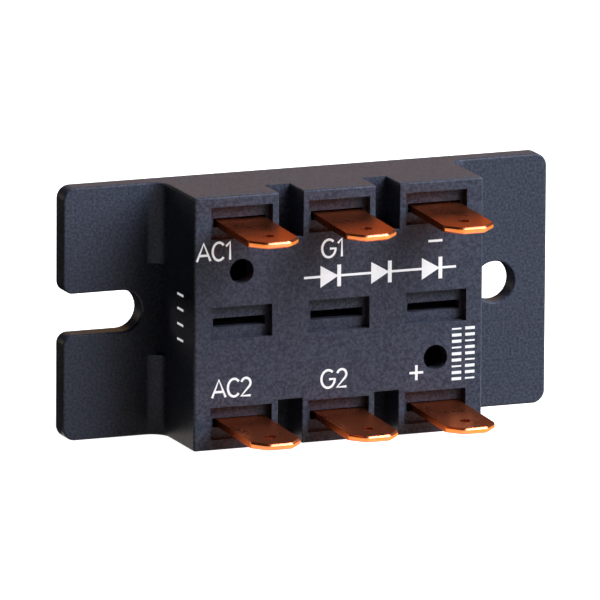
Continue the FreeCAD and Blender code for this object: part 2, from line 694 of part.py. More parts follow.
def seat(row, what):
    """Name the dimension that says how a row's blades are seated."""
    return f"{'upper' if row > 0 else 'lower'}_{what}"


def stem_place(column, row):
    """Return the centre of a blade's stem along X and along Z, as expressions."""
    x = f"{column} * Dims.column_pitch + Dims.{seat(row, 'shift')}"
    z = f"{row} * Dims.row_pitch - Dims.{seat(row, 'drop')}"
    return x, z


def bend_stem(body, value, name, column, row):
    """Make the straight stem in the epoxy and bend its foot onto the copper."""
    x, z = stem_place(column, row)
    half = "Dims.blade_width / 2"
    stem = add_sketch(body, f"{name}_stem", x=x, height=z, role="XY_Plane")
    draw_path(stem, [
        (f"-{half}", f"-{FOOT_BASE}"),
        (f"-{half}", "-Dims.lean_height"),
        (half, "-Dims.lean_height"),
        (half, f"-{FOOT_BASE}"),
    ])
    pad(body, stem, "Dims.blade_thick", symmetric=True)

    middle = f"{z} - {row} * (Dims.foot_reach - Dims.blade_thick) / 2"
    foot = add_sketch(body, f"{name}_foot", x=x, z=middle, height=FOOT_BASE)
    draw_rectangle(foot, "Dims.blade_width", "Dims.foot_reach")
    pad(body, foot, "Dims.blade_thick")

    centre_z = row * value("row_pitch") - value(seat(row, "drop"))
    outer_face = centre_z + row * value("blade_thick") / 2
    inner_face = centre_z - row * value("blade_thick") / 2
    foot_back = body.Shape.BoundBox.YMax
    foot_front = foot_back - value("blade_thick")

    def outer_bend(edge):
        return runs_along(edge, "X") and lies_at(edge, "Y", foot_back) and lies_at(edge, "Z", outer_face)

    def inner_bend(edge):
        return runs_along(edge, "X") and lies_at(edge, "Y", foot_front) and lies_at(edge, "Z", inner_face)

    dress_edges(body, "Fillet", "bend_outer", "Dims.bend_outer", outer_bend)
    dress_edges(body, "Fillet", "bend_inner", "Dims.bend_inner", inner_bend)


def add_leaning_sketch(body, name, column, row, across="0"):
    """Add a sketch in the middle of a blade, whose origin is where the blade begins to lean."""
    x, z = stem_place(column, row)
    sketch = add_sketch(body, name, x=f"{x} + {across}", z="-Dims.lean_height", height=z, role="XY_Plane")
    offset = sketch.AttachmentOffset
    offset.Rotation = FreeCAD.Rotation(FreeCAD.Vector(1, 0, 0), 1)
    sketch.AttachmentOffset = offset
    sketch.setExpression("AttachmentOffset.Rotation.Angle", f"Dims.{seat(row, 'lean')}")
    return sketch


def stamp_blade(body, value, name, column, row):
    """Add the blade that leans out of its opening, with a bevelled tip and a detent hole."""
    half = "Dims.blade_width / 2"
    reach = "(Dims.blade_tip - Dims.lean_height)"
    sway = f"Dims.{seat(row, 'sway')}"
    shoulder = f"{sway} * ({reach} - Dims.tip_chamfer) / {reach}"
    blade = add_leaning_sketch(body, f"{name}_blade", column, row)
    draw_path(blade, [
        (f"-{half}", "Dims.lean_lap"),
        (f"-{half} + {shoulder}", f"-({reach} - Dims.tip_chamfer)"),
        (f"-{half} + Dims.tip_chamfer + {sway}", f"-{reach}"),
        (f"{half} - Dims.tip_chamfer + {sway}", f"-{reach}"),
        (f"{half} + {shoulder}", f"-({reach} - Dims.tip_chamfer)"),
        (half, "Dims.lean_lap"),
    ])
    pad(body, blade, "Dims.blade_thick", symmetric=True)
    tip = body.Shape.BoundBox.YMin
    thick = value("blade_thick")
    tilt = thick * math.sin(math.radians(value(seat(row, "lean"))))

    def is_through(edge):
        low, high = span(edge, "Z")
        return high - low > thick / 2

    def tip_corner(edge):
        return is_through(edge) and span(edge, "Y")[1] < tip + tilt + TOLERANCE

    def tip_edge(edge):
        return not is_through(edge) and span(edge, "Y")[1] < tip + tilt + value("tip_chamfer") + TOLERANCE

    dress_edges(body, "Fillet", "tip_round", "Dims.tip_round", tip_corner)
    dress_edges(body, "Chamfer", "lead_in", "Dims.lead_in", tip_edge)

    along = f"({reach} - Dims.detent_back)"
    detent = add_leaning_sketch(body, f"{name}_detent", column, row, across=f"{sway} * {along} / {reach}")
    draw_circle(detent, "Dims.detent_diameter", up=f"-{along}")
    pocket(body, detent, "2 * Dims.blade_thick", symmetric=True)


def make_terminal(doc, value, name, column, row):
    """Make one terminal: a foot on the copper, a stem and a quick-connect blade."""
    body = add_body(doc, f"terminal_{name}")
    bend_stem(body, value, name, column, row)
    stamp_blade(body, value, name, column, row)
    return body


def make_terminals(doc, value):
    """Make the six terminals and the solder under their feet."""
    bodies = []
    squares = []
    for name, column, row in TERMINALS:
        bodies.append(make_terminal(doc, value, name, column, row))
        stem_x, stem_z = stem_place(column, row)
        x = about(stem_x, "Dims.blade_width")
        flat = "(Dims.foot_reach - Dims.bend_outer)"
        middle = f"{stem_z} - {row} * ({flat} / 2 + Dims.bend_outer - Dims.blade_thick / 2)"
        z = about(middle, flat)
        squares.append(add_block(doc, f"{name}_solder", x, z, (PAD_FRONT, FOOT_BASE)))
    return bodies + [group(doc, "terminal_solder", squares)]


def cut_from(doc, label, block, pieces):
    """Leave room in a poured filling for the pieces that stand in it."""
    tool = doc.addObject("Part::MultiFuse", f"{label}_contents")
    tool.Shapes = pieces
    filling = doc.addObject("Part::Cut", label)
    filling.Label = label
    filling.Base = block
    filling.Tool = tool
    return filling


def make_potting_gel(doc, pieces):
    """Pour the soft gel over the dies, clips and wires."""
    x = about("0", "Dims.cavity_length")
    z = about("0", "Dims.cavity_width")
    block = add_block(doc, "gel_block", x, z, (PLATE_FRONT, "Dims.gel_top"))
    return cut_from(doc, "potting_gel", block, pieces)


def make_epoxy_cap(doc, terminals):
    """Pour the hard epoxy over the gel, up into the bays round the blades."""
    x = about("0", "Dims.cavity_length")
    z = about("0", "Dims.cavity_width")
    pieces = [
        add_block(doc, "cap_slab", x, z, ("Dims.gel_top", "Dims.lower_ceiling")),
        add_block(doc, "cap_band", x, about("0", "Dims.band_width"), ("Dims.gel_top", "Dims.cap_top")),
    ]
    for column in (-1, 0, 1):
        bay_height = ("Dims.gel_top", "Dims.cap_top")
        pieces.append(add_block(doc, f"cap_bay_{column + 2}", bay_ends(column), z, bay_height))
    return cut_from(doc, "epoxy_cap", join(doc, "cap_block", pieces), terminals)


def check(doc, nodes):
    """Stop if any object failed, or if a sub-part is empty or invalid."""
    for item in doc.Objects:
        if "Invalid" in item.State or "Error" in item.State:
            raise ValueError(f"{item.Name} failed: {item.State}")
    for node in nodes:
        if node.Shape.isNull() or not node.Shape.isValid():
            raise ValueError(f"{node.Label} has no valid shape")


def export(nodes):
    """Write each sub-part to its own STEP file."""
    os.makedirs("parts", exist_ok=True)
    for node in nodes:
        node.Shape.exportStep(f"parts/{node.Label}.step")
        print(f"{node.Label}: {len(node.Shape.Solids)} solid(s), {node.Shape.Volume:.2f} mm3")


def main():
    """Build the relay, check it and write its parts."""
    doc = FreeCAD.newDocument("solid_state_relay")
    sheet = add_dimensions(doc)

    def value(alias):
        return float(sheet.get(alias))

    housing = make_housing(doc, value)
    base = [make_base_plate(doc), make_base_seal(doc)]
    stack = make_ceramic_stack(doc) + make_copper_pads(doc)
    dies = make_dies(doc)
    clips = make_scr_clips(doc) + [make_freewheel_clip(doc), make_rectifier_clip(doc)]
    wires = [make_gate_wire(doc, value, f"gate_wire_{number}", sign) for number, sign in ((1, 1), (2, -1))]
    terminals = make_terminals(doc, value)
    gel = make_potting_gel(doc, stack + dies + clips + wires + terminals)
    cap = make_epoxy_cap(doc, terminals)
    doc.recompute()

    nodes = [housing] + base + stack + dies + clips + wires + terminals + [gel, cap]
    check(doc, nodes)
    export(nodes)


main()
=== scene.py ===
"""Looks of a potted bridge relay: moulded case, copper blades, printed legends and studio.

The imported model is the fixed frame. Lengths are in metres, except in the prints, whose docstrings say
millimetres. The mounting face is the plane Y = 0, the blades point along -Y, and +Z is up.
"""
import json
import logging
import math
from dataclasses import dataclass, field
from enum import Enum
from typing import Iterable, Union

import bpy
from mathutils import Euler, Matrix, Vector


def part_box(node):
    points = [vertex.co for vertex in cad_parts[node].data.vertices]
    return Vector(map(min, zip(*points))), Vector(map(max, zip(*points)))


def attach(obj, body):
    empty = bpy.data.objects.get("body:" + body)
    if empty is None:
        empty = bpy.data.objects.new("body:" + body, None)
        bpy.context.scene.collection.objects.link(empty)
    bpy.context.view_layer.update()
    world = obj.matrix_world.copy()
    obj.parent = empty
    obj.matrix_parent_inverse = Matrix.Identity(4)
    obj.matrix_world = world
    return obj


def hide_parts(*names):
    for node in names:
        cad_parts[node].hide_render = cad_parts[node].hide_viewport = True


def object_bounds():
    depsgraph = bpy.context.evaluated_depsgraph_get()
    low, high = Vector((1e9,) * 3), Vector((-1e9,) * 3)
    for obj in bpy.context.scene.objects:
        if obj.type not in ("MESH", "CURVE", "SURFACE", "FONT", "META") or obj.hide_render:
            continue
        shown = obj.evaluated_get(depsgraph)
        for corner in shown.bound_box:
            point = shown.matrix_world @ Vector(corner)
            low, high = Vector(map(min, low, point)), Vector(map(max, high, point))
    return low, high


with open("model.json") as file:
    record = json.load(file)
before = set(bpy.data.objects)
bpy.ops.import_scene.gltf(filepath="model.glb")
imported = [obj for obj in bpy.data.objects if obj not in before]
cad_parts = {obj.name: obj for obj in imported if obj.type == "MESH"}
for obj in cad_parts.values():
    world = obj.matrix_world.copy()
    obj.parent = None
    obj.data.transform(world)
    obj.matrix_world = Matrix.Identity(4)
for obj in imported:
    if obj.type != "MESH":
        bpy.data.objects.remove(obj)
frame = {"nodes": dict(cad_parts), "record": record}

MM = 0.001
CAD_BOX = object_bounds()
BODY = "root"
CUT_FACE = "cut_face"
LOG = logging.getLogger("relay")

Number = Union[int, float]
Colour = tuple[float, float, float]


class Facing(Enum):
    """The side of the case that a print lies on."""

    FRONT = "front"
    END = "end"


class Letter(Enum):
    """The signs that the terminal designations are made of."""

    A = "A"
    C = "C"
    G = "G"
    ONE = "1"
    TWO = "2"


# ---------------------------------------------------------------- shader maths


class Signal:
    """One output of a shader graph that takes part in Python arithmetic."""

    def __init__(self, graph: "Graph", socket: bpy.types.NodeSocket) -> None:
        """Keep the graph and the socket.

        Args:
            graph: The graph that new Math nodes go into.
            socket: The output that carries the value.
        """
        self.graph = graph
        self.socket = socket

    def _math(self, operation: str, first: object, second: object, clamp: bool = False) -> "Signal":
        """Add a Math node on two values and return its result."""
        settings = {"operation": operation, "use_clamp": clamp}
        return self.graph.add("ShaderNodeMath", settings, {0: first, 1: second})

    def __add__(self, other: "Signal | Number") -> "Signal":
        """Return self + other."""
        return self._math("ADD", self, other)

    def __radd__(self, other: Number) -> "Signal":
        """Return other + self."""
        return self._math("ADD", other, self)

    def __sub__(self, other: "Signal | Number") -> "Signal":
        """Return self - other."""
        return self._math("SUBTRACT", self, other)

    def __rsub__(self, other: Number) -> "Signal":
        """Return other - self."""
        return self._math("SUBTRACT", other, self)

    def __mul__(self, other: "Signal | Number") -> "Signal":
        """Return self * other."""
        return self._math("MULTIPLY", self, other)

    def __rmul__(self, other: Number) -> "Signal":
        """Return other * self."""
        return self._math("MULTIPLY", other, self)

    def clamped(self) -> "Signal":
        """Return the value held between 0 and 1."""
        return self._math("ADD", self, 0.0, clamp=True)


class Graph:
    """A material's node tree, built through one method."""

    def __init__(self, name: str) -> None:
        """Start a material with an empty tree.

        Args:
            name: The material's name.
        """
        self.material = bpy.data.materials.new(name)
        self.material.use_nodes = True
        self.tree = self.material.node_tree
        self.tree.nodes.clear()

    def add(self, kind: str, settings: dict | None = None, inputs: dict | None = None,
            output: int | str = 0) -> Signal:
        """Add a node, set it up and link or fill its inputs.

        Args:
            kind: The node's type name.
            settings: Properties to set first; "stops" fills a ramp with (position, colour).
            inputs: Values or Signals by input name or index.
            output: Name or index of the output to return.

        Returns:
            The chosen output.
        """
        node = self.tree.nodes.new(kind)
        for name, value in (settings or {}).items():
            if name == "stops":
                self._fill_ramp(node, value)
            else:
                setattr(node, name, value)
        for key, value in (inputs or {}).items():
            if isinstance(value, Signal):
                self.tree.links.new(value.socket, node.inputs[key])
            else:
                node.inputs[key].default_value = value
        return Signal(self, node.outputs[output])

    @staticmethod
    def _fill_ramp(node: bpy.types.Node, stops: Iterable[tuple[float, Colour]]) -> None:
        """Give a ramp its stops."""
        elements = node.color_ramp.elements
        while len(elements) > 1:
            elements.remove(elements[-1])
        for index, (position, colour) in enumerate(stops):
            element = elements[0] if index == 0 else elements.new(position)
            element.position = position
            element.color = (*colour, 1.0)

    def place(self, stretch: Colour = (1.0, 1.0, 1.0)) -> Signal:
        """Return Object coordinates, stretched along each axis."""
        coordinates = self.add("ShaderNodeTexCoord", output="Object")
        return self.add("ShaderNodeMapping", {}, {"Vector": coordinates, "Scale": stretch})

    def axis(self, name: str) -> Signal:
        """Return one component of the Object coordinates."""
        return self.add("ShaderNodeSeparateXYZ", {}, {0: self.place()}, name)

    def noise(self, per_metre: float, detail: float = 2.0, stretch: Colour = (1.0, 1.0, 1.0)) -> Signal:
        """Return a noise from 0 to 1 with the given number of lumps per metre."""
        inputs = {"Vector": self.place(stretch), "Scale": per_metre, "Detail": detail}
        return self.add("ShaderNodeTexNoise", {}, inputs)

    def attribute(self, name: str) -> Signal:
        """Return a number that the mesh keeps for each of its faces."""
        return self.add("ShaderNodeAttribute", {"attribute_name": name}, output="Fac")

    def between(self, value: Signal, low: float, high: float) -> Signal:
        """Return 0 below low, 1 above high and a smooth rise between them."""
        settings = {"interpolation_type": "SMOOTHSTEP"}
        return self.add("ShaderNodeMapRange", settings, {"Value": value, "From Min": low, "From Max": high})

    def blend(self, amount: Signal | Number, first: object, second: object) -> Signal:
        """Mix two colours or colour signals."""
        def rgba(value: object) -> object:
            return value if isinstance(value, Signal) else (*value, 1.0)

        inputs = {0: amount, 6: rgba(first), 7: rgba(second)}
        return self.add("ShaderNodeMix", {"data_type": "RGBA"}, inputs, 2)

    def relief(self, height: Signal, depth: float, strength: float = 1.0) -> Signal:
        """Turn a height from 0 to 1 into a bumped normal."""
        inputs = {"Height": height, "Distance": depth, "Strength": strength}
        return self.add("ShaderNodeBump", {}, inputs)

    def finish(self, **sockets: object) -> bpy.types.Material:
        """End the graph in one Principled surface.

        Args:
            sockets: Values by socket name, with underscores for spaces.

        Returns:
            The finished material.
        """
        inputs = {}
        for name, value in sockets.items():
            if isinstance(value, tuple) and len(value) == 3:
                value = (*value, 1.0)
            inputs[name.replace("_", " ")] = value
        surface = self.add("ShaderNodeBsdfPrincipled", {}, inputs)
        self.add_output(surface)
        return self.material

    def add_output(self, surface: Signal) -> None:
        """Join a shader to the material's output."""
        node = self.tree.nodes.new("ShaderNodeOutputMaterial")
        self.tree.links.new(surface.socket, node.inputs["Surface"])


# ---------------------------------------------------------------- finishes


@dataclass(frozen=True)
class MouldedPlastic:
    """Black glass-filled thermoset with the fine grain of a spark-eroded mould."""

    base: Colour = (0.022, 0.026, 0.040)
    pale: Colour = (0.070, 0.078, 0.108)
    roughness: float = 0.36
    shine: float = 0.12
    grain_per_metre: float = 5200.0
    speck_per_metre: float = 3200.0
    flow_per_metre: float = 130.0
    grain_depth: float = 0.022 * MM

    def material(self) -> bpy.types.Material:
        """Return the case's material."""
        graph = Graph("moulded_plastic")
        grain = graph.noise(self.grain_per_metre, 3.0)
        speck = graph.noise(self.speck_per_metre, 2.0)
        flow = graph.noise(self.flow_per_metre, 3.0)
        fibres = graph.between(speck, 0.30, 0.72)
        colour = graph.blend(fibres * 0.80 + flow * 0.20, self.base, self.pale)
        rough = self.roughness + 0.16 * (grain - 0.5) + 0.12 * (flow - 0.5)
        normal = graph.relief(grain * 0.6 + speck * 0.4, self.grain_depth, 0.6)
        return graph.finish(Base_Color=colour, Roughness=rough.clamped(), Normal=normal,
                            Specular_IOR_Level=self.shine)


@dataclass(frozen=True)
class StampedCopper:
    """Rolled copper strip, lightly toned, with painted shade on the sheared sides and detent-hole walls
    behind the tip, and bright round the worn tip.
    """

    bright: Colour = (0.84, 0.26, 0.045)
    toned: Colour = (0.86, 0.28, 0.14)
    dark: Colour = (0.68, 0.17, 0.07)
    # Painted shade: the colour laid on the sheared sides and detent-hole walls behind the tip.
    painted_side_shade: Colour = (0.22, 0.035, 0.012)
    edge_tint: Colour = (1.0, 0.60, 0.46)
    roughness: float = 0.26
    tip_roughness: float = 0.24
    rolling_per_metre: float = 500.0
    stain_per_metre: float = 260.0
    shear_per_metre: float = 1300.0
    tip_reach: float = 1.5 * MM

    def material(self) -> bpy.types.Material:
        """Return the blades' material."""
        graph = Graph("stamped_copper")
        tip = CAD_BOX[0].y
        rolled = graph.noise(self.rolling_per_metre, 3.0, (5.0, 0.35, 5.0))
        stain = graph.noise(self.stain_per_metre, 3.0)
        sheared = graph.noise(self.shear_per_metre, 2.0, (1.0, 1.0, 0.12))
        side = graph.attribute(CUT_FACE)
        behind = graph.between(graph.axis("Y"), tip + self.tip_reach, tip + 1.5 * self.tip_reach)
        worn = side * (1 - behind)
        tarnish = graph.between(stain, 0.25, 0.80)
        colour = graph.blend(tarnish * 0.6 + rolled * 0.15, self.toned, self.dark)
        # Painted shade: the sheared sides and detent-hole walls behind the tip are darkened to stand in for
        # the shade they lie in.
        colour = graph.blend(side * behind * 0.85, colour, self.painted_side_shade)
        torn = graph.between(sheared, 0.40, 0.60)
        colour = graph.blend(worn * (0.35 + 0.65 * torn), colour, self.bright)
        rough = self.roughness + 0.06 * (rolled - 0.5) + 0.08 * tarnish + self.tip_roughness * worn
        normal = graph.relief(rolled, 0.003 * MM, 0.25)
        return graph.finish(Base_Color=colour, Metallic=1.0, Roughness=rough.clamped(), Normal=normal,
                            Specular_Tint=self.edge_tint)


@dataclass(frozen=True)
class LappedNickel:
    """Nickel plate over a lapped heat spreader, with fine straight lapping marks."""

    base: Colour = (0.66, 0.63, 0.58)
    dull: Colour = (0.47, 0.45, 0.42)
    roughness: float = 0.30
    lapping_per_metre: float = 2600.0
    cloud_per_metre: float = 95.0

    def material(self) -> bpy.types.Material:
        """Return the base plate's material."""
        graph = Graph("lapped_nickel")
        lapping = graph.noise(self.lapping_per_metre, 3.0, (0.03, 1.0, 1.0))
        cloud = graph.noise(self.cloud_per_metre, 4.0)
        colour = graph.blend(cloud * 0.5 + lapping * 0.35, self.base, self.dull)
        rough = self.roughness + 0.16 * (lapping - 0.5) + 0.2 * (cloud - 0.5)
        normal = graph.relief(lapping, 0.005 * MM, 0.5)
        return graph.finish(Base_Color=colour, Metallic=1.0, Roughness=rough.clamped(), Normal=normal)


@dataclass(frozen=True)
class PrintInk:
    """Thin white pad-printed ink over the grain of the case, with a low glow that keeps it white in shade."""

    base: Colour = (0.50, 0.505, 0.51)
    thin: Colour = (0.40, 0.405, 0.41)
    # Painted light: the ink's glow, which keeps the print white where shade falls on it.
    glow: Colour = (0.50, 0.51, 0.52)
    grain_per_metre: float = 6000.0
    patch_per_metre: float = 900.0

    def material(self) -> bpy.types.Material:
        """Return the print's material."""
        graph = Graph("print_ink")
        grain = graph.noise(self.grain_per_metre, 2.0)
        patch = graph.noise(self.patch_per_metre, 3.0)
        sparse = graph.between(grain * 0.6 + patch * 0.4, 0.48, 0.66)
        colour = graph.blend(sparse, self.base, self.thin)
        normal = graph.relief(grain, 0.008 * MM, 0.6)
        # Painted light: the ink glows a little so it stays white in shade.
        return graph.finish(Base_Color=colour, Roughness=0.55 + 0.2 * grain, Normal=normal,
                            Emission_Color=self.glow, Emission_Strength=1.0)


@dataclass(frozen=True)
class Granular:
    """A plain finish with its own grain, for the pieces inside the case."""

    name: str
    base: Colour
    other: Colour
    roughness: float
    metallic: float = 0.0
    lumps_per_metre: float = 1500.0
    depth: float = 0.004 * MM
    shine: float = 0.5

    def material(self) -> bpy.types.Material:
        """Return the finish's material."""
        graph = Graph(self.name)
        lumps = graph.noise(self.lumps_per_metre, 4.0)
        colour = graph.blend(graph.between(lumps, 0.35, 0.65), self.base, self.other)
        rough = self.roughness + 0.2 * (lumps - 0.5)
        normal = graph.relief(lumps, self.depth, 0.6)
        return graph.finish(Base_Color=colour, Metallic=self.metallic, Roughness=rough.clamped(),
                            Normal=normal, Specular_IOR_Level=self.shine)


def inner_finishes() -> dict[str, Granular]:
    """Return the finishes of the hidden pieces by the record's slot."""
    return {
        "seal_adhesive": Granular("cured_adhesive", (0.55, 0.55, 0.53), (0.68, 0.68, 0.66), 0.6),
        "solder": Granular("solder_alloy", (0.55, 0.55, 0.57), (0.72, 0.72, 0.73), 0.42, 1.0, 2200.0),
        "inner_copper": Granular("etched_copper", (0.80, 0.42, 0.26), (0.62, 0.28, 0.16), 0.36, 1.0, 2600.0),
        "alumina": Granular("fired_alumina", (0.80, 0.80, 0.77), (0.88, 0.88, 0.86), 0.7, 0.0, 5200.0),
        "silicon": Granular("passivated_silicon", (0.06, 0.065, 0.08), (0.10, 0.11, 0.14), 0.22, 0.0, 700.0),
        "bond_wire": Granular("drawn_aluminium", (0.80, 0.80, 0.80), (0.66, 0.66, 0.67), 0.34, 1.0, 3800.0),
        "gel": Granular("silicone_gel", (0.62, 0.61, 0.52), (0.70, 0.69, 0.62), 0.18, 0.0, 160.0),
        "epoxy": Granular("potting_epoxy", (0.004, 0.004, 0.004), (0.008, 0.008, 0.008), 0.75, 0.0, 240.0,
                          shine=0.0),
    }


# ---------------------------------------------------------------- modelling helpers


def deselect() -> None:
    """Leave edit mode with nothing selected."""
    if bpy.context.mode != "OBJECT":
        bpy.ops.object.mode_set(mode="OBJECT")
    bpy.ops.object.select_all(action="DESELECT")


def make_active(piece: bpy.types.Object) -> None:
    """Select one object and make it active."""
    deselect()
    piece.select_set(True)
    bpy.context.view_layer.objects.active = piece


def apply_modifier(piece: bpy.types.Object, kind: str, **settings: object) -> None:
    """Add a modifier, set it and apply it.

    Args:
        piece: The mesh to change.
        kind: The modifier's type.
        settings: Properties of the modifier.
    """
    make_active(piece)
    modifier = piece.modifiers.new(kind.lower(), kind)
    for name, value in settings.items():
        setattr(modifier, name, value)
    bpy.ops.object.modifier_apply(modifier=modifier.name)


def bake_place(piece: bpy.types.Object) -> None:
    """Move an object's place into its mesh."""
    make_active(piece)
    bpy.ops.object.transform_apply(location=True, rotation=True, scale=True)


def smooth(piece: bpy.types.Object, degrees: float = 32.0) -> None:
    """Shade smoothly across shallow edges."""
    make_active(piece)
    bpy.ops.object.shade_smooth_by_angle(angle=math.radians(degrees))


def mount_piece(piece: bpy.types.Object, slot: str, material: bpy.types.Material, *nodes: str) -> None:
    """Hang a finished piece on the frame.

    Args:
        piece: The finished mesh.
        slot: The record's slot for the piece's finish; it is only written to the log.
        material: The piece's only material.
        nodes: CAD nodes that the piece stands for.
    """
    piece.data.materials.clear()
    piece.data.materials.append(material)
    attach(piece, BODY)
    if nodes:
        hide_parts(*nodes)
    LOG.info("%s: %d faces, slot %s", piece.name, len(piece.data.polygons), slot)


@dataclass
class EasedCopy:
    """A CAD node's own shape with its sharp edges eased, as a tool or a mould leaves them."""

    node: str
    name: str
    ease: float
    segments: int = 2
    flat_degrees: float = 0.6
    sharp_degrees: float = 30.0

    def build(self) -> bpy.types.Object:
        """Copy the node, merge its triangles into faces and ease its edges.

        Returns:
            The new mesh object.
        """
        piece = bpy.data.objects.new(self.name, frame["nodes"][self.node].data.copy())
        bpy.context.scene.collection.objects.link(piece)
        make_active(piece)
        bpy.ops.object.mode_set(mode="EDIT")
        bpy.ops.mesh.select_all(action="SELECT")
        bpy.ops.mesh.remove_doubles(threshold=0.0005 * MM)
        bpy.ops.mesh.dissolve_limited(angle_limit=math.radians(self.flat_degrees))
        bpy.ops.object.mode_set(mode="OBJECT")
        apply_modifier(piece, "BEVEL", width=self.ease, segments=self.segments, limit_method="ANGLE",
                       angle_limit=math.radians(self.sharp_degrees), use_clamp_overlap=True)
        smooth(piece)
        apply_modifier(piece, "WEIGHTED_NORMAL", mode="FACE_AREA", keep_sharp=True)
        return piece


# ---------------------------------------------------------------- sub-assemblies


@dataclass
class Case:
    """The moulded case."""

    ease: float = 0.045 * MM
    finish: MouldedPlastic = field(default_factory=MouldedPlastic)

    def build(self) -> None:
        """Model the case and hang it on the frame."""
        piece = EasedCopy("housing", "moulded_case", self.ease).build()
        mount_piece(piece, "moulded_case", self.finish.material(), "housing")


@dataclass
class Blades:
    """The six quick-connect blades."""

    ease: float = 0.07 * MM
    skin_tilt: float = 0.4
    finish: StampedCopper = field(default_factory=StampedCopper)

    def build(self) -> None:
        """Model each blade and hang it on the frame."""
        material = self.finish.material()
        for node in sorted(frame["nodes"]):
            if node.startswith("terminal_") and node != "terminal_solder":
                piece = EasedCopy(node, f"{node}_blade", self.ease).build()
                self.mark_cut_faces(piece)
                mount_piece(piece, "terminal_copper", material, node)

    def mark_cut_faces(self, piece: bpy.types.Object) -> None:
        """Keep on each face whether the die sheared it, or it is still the strip's rolled skin."""
        marks = piece.data.attributes.new(CUT_FACE, "FLOAT", "FACE")
        for face in piece.data.polygons:
            marks.data[face.index].value = float(abs(face.normal.z) < self.skin_tilt)


@dataclass
class Internals:
    """The pieces inside the case, and the base plate behind it, which keep their CAD shapes."""

    plate: LappedNickel = field(default_factory=LappedNickel)

    def dress(self) -> None:
        """Give every remaining CAD node the finish of its slot."""
        materials = {slot: finish.material() for slot, finish in inner_finishes().items()}
        materials["plate_metal"] = self.plate.material()
        for subpart in frame["record"]["subparts"]:
            material = materials.get(subpart["material_slot"])
            if material is not None:
                target = frame["nodes"][subpart["node"]]
                target.data.materials.clear()
                target.data.materials.append(material)
                LOG.info("%s: finish %s", subpart["node"], material.name)


Path = list[tuple[float, float]]


def arc(centre: tuple[float, float], radii: tuple[float, float], start: float, end: float) -> Path:
    """Return points along part of an ellipse.

    Args:
        centre: The ellipse's centre.
        radii: Its half width and half height.
        start: The angle of the first point, in degrees.
        end: The angle of the last point, in degrees.

    Returns:
        The points, one about every 15 degrees.
    """
    count = max(2, round(abs(end - start) / 15))
    angles = [math.radians(start + (end - start) * step / count) for step in range(count + 1)]
    return [(centre[0] + radii[0] * math.cos(angle), centre[1] + radii[1] * math.sin(angle))
            for angle in angles]


def letter_strokes(letter: Letter) -> tuple[float, list[Path]]:
    """Return a letter's width and its pen strokes, as parts of the cap height."""
    match letter:
        case Letter.A:
            return 0.80, [[(0.0, 0.0), (0.40, 1.0), (0.80, 0.0)], [(0.13, 0.32), (0.67, 0.32)]]
        case Letter.C:
            return 0.66, [arc((0.37, 0.5), (0.37, 0.5), 42, 318)]
        case Letter.G:
            return 0.80, [arc((0.40, 0.5), (0.40, 0.5), 48, 352) + [(0.80, 0.48), (0.46, 0.48)]]
        case Letter.ONE:
            return 0.24, [[(0.0, 0.76), (0.24, 1.0), (0.24, 0.0)]]
        case Letter.TWO:
            bow = arc((0.28, 0.71), (0.27, 0.29), 165, -38)
            return 0.56, [bow + [(0.0, 0.0), (0.56, 0.0)]]


@dataclass
class Pen:
    """Draws flat strokes of ink on one side of the case."""

    facing: Facing
    surface: float
    width: float = 0.34 * MM
    ink_thick: float = 0.03 * MM

    def stroke(self, path: Path, width: float | None = None) -> bpy.types.Object:
        """Draw one stroke through points given in millimetres.

        Args:
            path: Points across and up the side. On an end wall, across is the height.
            width: The stroke's width, where it isn't the pen's own.

        Returns:
            The stroke as a thin closed mesh.
        """
        deselect()
        bpy.ops.mesh.primitive_plane_add(size=MM, location=(0, 0, 0))
        piece = bpy.context.object
        bpy.ops.object.mode_set(mode="EDIT")
        bpy.ops.mesh.select_all(action="SELECT")
        bpy.ops.mesh.merge(type="CENTER")
        bpy.ops.transform.translate(value=(path[0][0] * MM, 0, path[0][1] * MM))
        for before, after in zip(path, path[1:]):
            step = ((after[0] - before[0]) * MM, 0, (after[1] - before[1]) * MM)
            bpy.ops.mesh.extrude_region_move(TRANSFORM_OT_translate={"value": step})
        bpy.ops.object.mode_set(mode="OBJECT")
        bpy.ops.object.convert(target="CURVE")
        piece = bpy.context.object
        piece.data.bevel_depth = (width or self.width) / 2
        piece.data.bevel_resolution = 1
        piece.data.use_fill_caps = True
        bpy.ops.object.convert(target="MESH")
        return bpy.context.object

    def wedge(self, left: float, middle: float, size: float) -> bpy.types.Object:
        """Draw a filled triangle that points to the right.

        Args:
            left: Where its upright side stands, in millimetres.
            middle: The height of its middle, in millimetres.
            size: The length of each side, in millimetres.

        Returns:
            The triangle as a closed mesh.
        """
        deselect()
        radius = size / math.sqrt(3)
        centre = ((left + radius / 2) * MM, 0, middle * MM)
        turn = (math.radians(90), math.radians(90), 0)
        bpy.ops.mesh.primitive_cylinder_add(vertices=3, radius=radius * MM, depth=2 * self.width,
                                            location=centre, rotation=turn)
        piece = bpy.context.object
        bake_place(piece)
        return piece

    def lay(self, name: str, pieces: list[bpy.types.Object]) -> bpy.types.Object:
        """Join strokes, press them thin and lay them on the side.

        Args:
            name: The print's name.
            pieces: Its strokes.

        Returns:
            The print as one mesh.
        """
        deselect()
        for piece in pieces:
            piece.select_set(True)
        bpy.context.view_layer.objects.active = pieces[0]
        if len(pieces) > 1:
            bpy.ops.object.join()
        piece = bpy.context.object
        piece.name = name
        piece.scale = (1, self.ink_thick / self.width, 1)
        if self.facing is Facing.END:
            piece.rotation_euler = Euler((0, 0, math.radians(-90)))
            piece.location = (self.surface, 0, 0)
        else:
            piece.location = (0, self.surface, 0)
        bake_place(piece)
        smooth(piece)
        return piece


